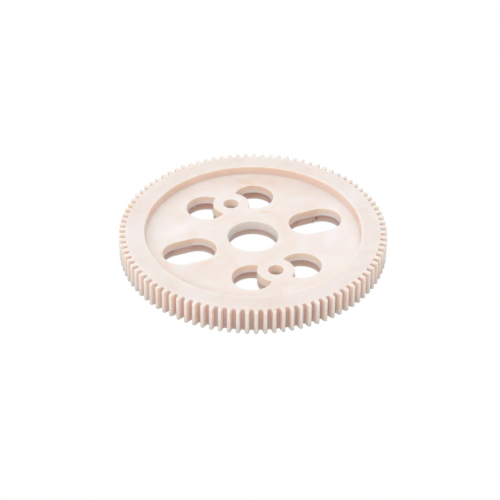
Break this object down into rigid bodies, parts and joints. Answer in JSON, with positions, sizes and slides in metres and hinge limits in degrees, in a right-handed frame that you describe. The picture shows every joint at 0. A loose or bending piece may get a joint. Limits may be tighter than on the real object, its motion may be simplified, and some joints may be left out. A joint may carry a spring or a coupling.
{
  "type": "spur gear",
  "caption": "Moulded plastic spur gear with fine straight teeth, a dished web, a centre bore, lightening openings and two screw bosses.",
  "frame": {"origin": "bore axis at the gear's flat back face", "axes": "+Z along the bore axis towards the dished front face, +X through the plain openings, +Y through the screw bosses"},
  "size_m": [0.0514, 0.0514, 0.005],
  "materials": {
    "natural_plastic": "satin natural nylon, ivory and slightly translucent"
  },
  "bodies": {
    "root": {"spur_gear": "natural_plastic"}
  },
  "joints": []
}
